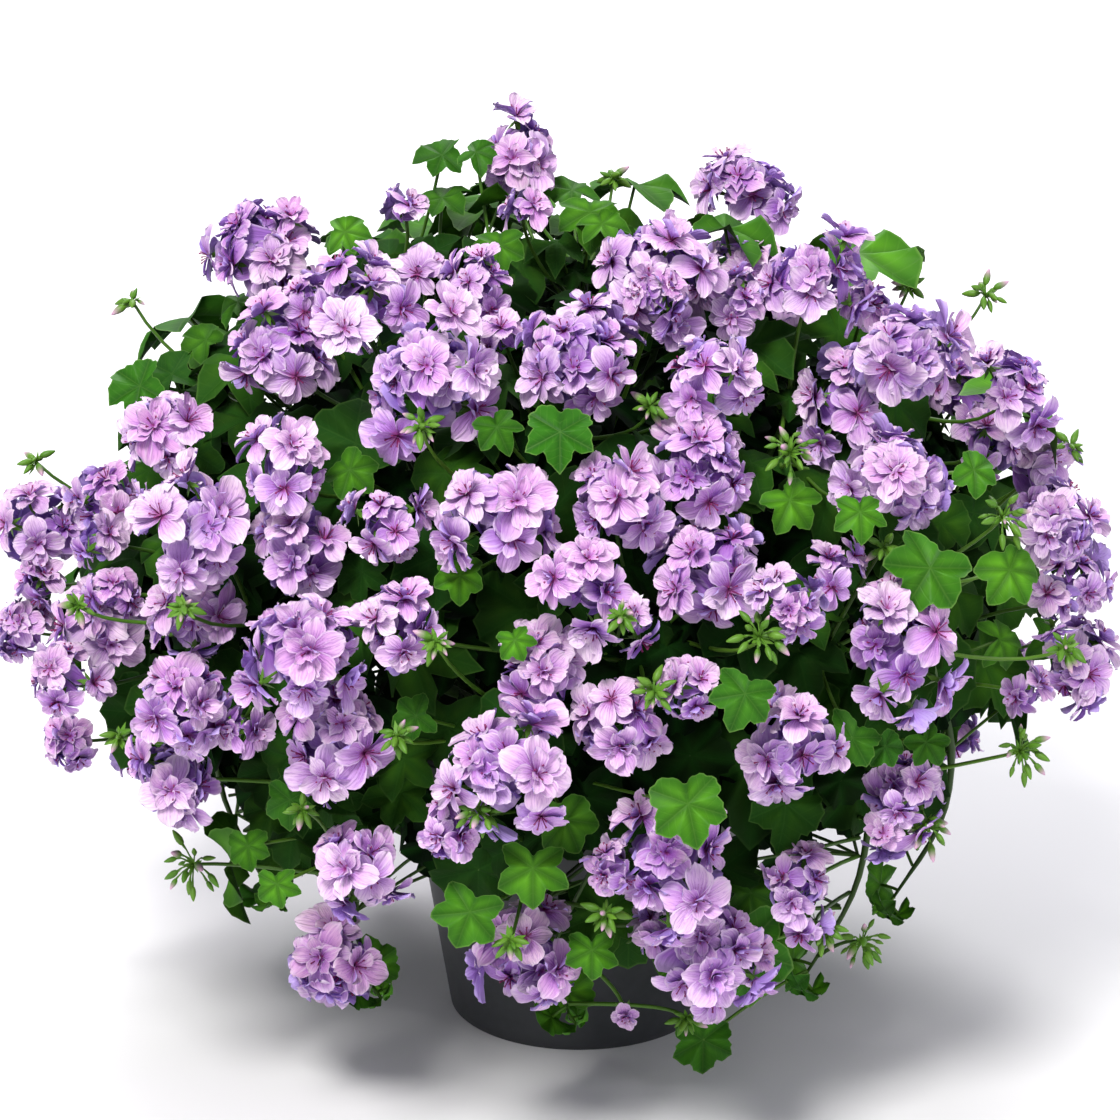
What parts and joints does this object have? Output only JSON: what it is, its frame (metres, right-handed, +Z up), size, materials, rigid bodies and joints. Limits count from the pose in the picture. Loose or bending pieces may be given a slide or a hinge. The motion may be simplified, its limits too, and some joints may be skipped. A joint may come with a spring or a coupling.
{
  "type": "potted ivy geranium",
  "caption": "Mounded trailing balcony plant with lilac double flower heads over lobed ivy leaves, in a plain round tapered pot of compost; stands on its flat foot.",
  "frame": {"origin": "middle of the pot's flat foot, on the surface that the pot stands on", "axes": "+Z up along the pot's axis, front of the plant towards -Y, its width along X"},
  "size_m": [0.6903, 0.6828, 0.5615],
  "materials": {
    "pot_plastic": "moulded dark charcoal, satin",
    "compost": "dark crumbly bark compost, matt",
    "leaf_green": "fleshy green leaf and stem, slightly glossy",
    "petal_lilac": "soft lilac petal with darker veins, matt"
  },
  "bodies": {
    "root": {"crown_stem": "leaf_green", "flower_head_07": "petal_lilac", "flower_head_08": "petal_lilac", "flower_head_09": "petal_lilac", "flower_head_10": "petal_lilac", "flower_head_11": "petal_lilac", "flower_head_12": "petal_lilac", "flower_head_13": "petal_lilac", "flower_head_14": "petal_lilac", "flower_head_15": "petal_lilac", "flower_head_16": "petal_lilac", "flower_head_17": "petal_lilac", "flower_head_18": "petal_lilac", "flower_head_19": "petal_lilac", "flower_head_20": "petal_lilac", "flower_head_21": "petal_lilac", "flower_head_22": "petal_lilac", "flower_head_23": "petal_lilac", "flower_head_24": "petal_lilac", "flower_head_25": "petal_lilac", "flower_head_26": "petal_lilac", "flower_head_27": "petal_lilac", "flower_head_28": "petal_lilac", "flower_head_29": "petal_lilac", "flower_head_30": "petal_lilac", "flower_head_31": "petal_lilac", "flower_head_32": "petal_lilac", "flower_head_33": "petal_lilac", "flower_head_34": "petal_lilac", "flower_head_35": "petal_lilac", "flower_head_36": "petal_lilac", "flower_head_37": "petal_lilac", "flower_head_38": "petal_lilac", "flower_head_39": "petal_lilac", "flower_head_40": "petal_lilac", "flower_head_41": "petal_lilac", "flower_head_42": "petal_lilac", "flower_head_43": "petal_lilac", "flower_head_44": "petal_lilac", "flower_head_45": "petal_lilac", "flower_head_46": "petal_lilac", "flower_head_47": "petal_lilac", "flower_head_48": "petal_lilac", "flower_head_49": "petal_lilac", "flower_heads_01": "petal_lilac", "flower_heads_02": "petal_lilac", "flower_heads_03": "petal_lilac", "flower_heads_04": "petal_lilac", "flower_heads_05": "petal_lilac", "flower_heads_06": "petal_lilac", "leafy_stem_01": "leaf_green", "leafy_stem_02": "leaf_green", "leafy_stem_03": "leaf_green", "leafy_stem_04": "leaf_green", "leafy_stem_05": "leaf_green", "leafy_stem_06": "leaf_green", "leafy_stem_07": "leaf_green", "leafy_stem_08": "leaf_green", "pot": "pot_plastic", "soil": "compost"}
  },
  "joints": []
}
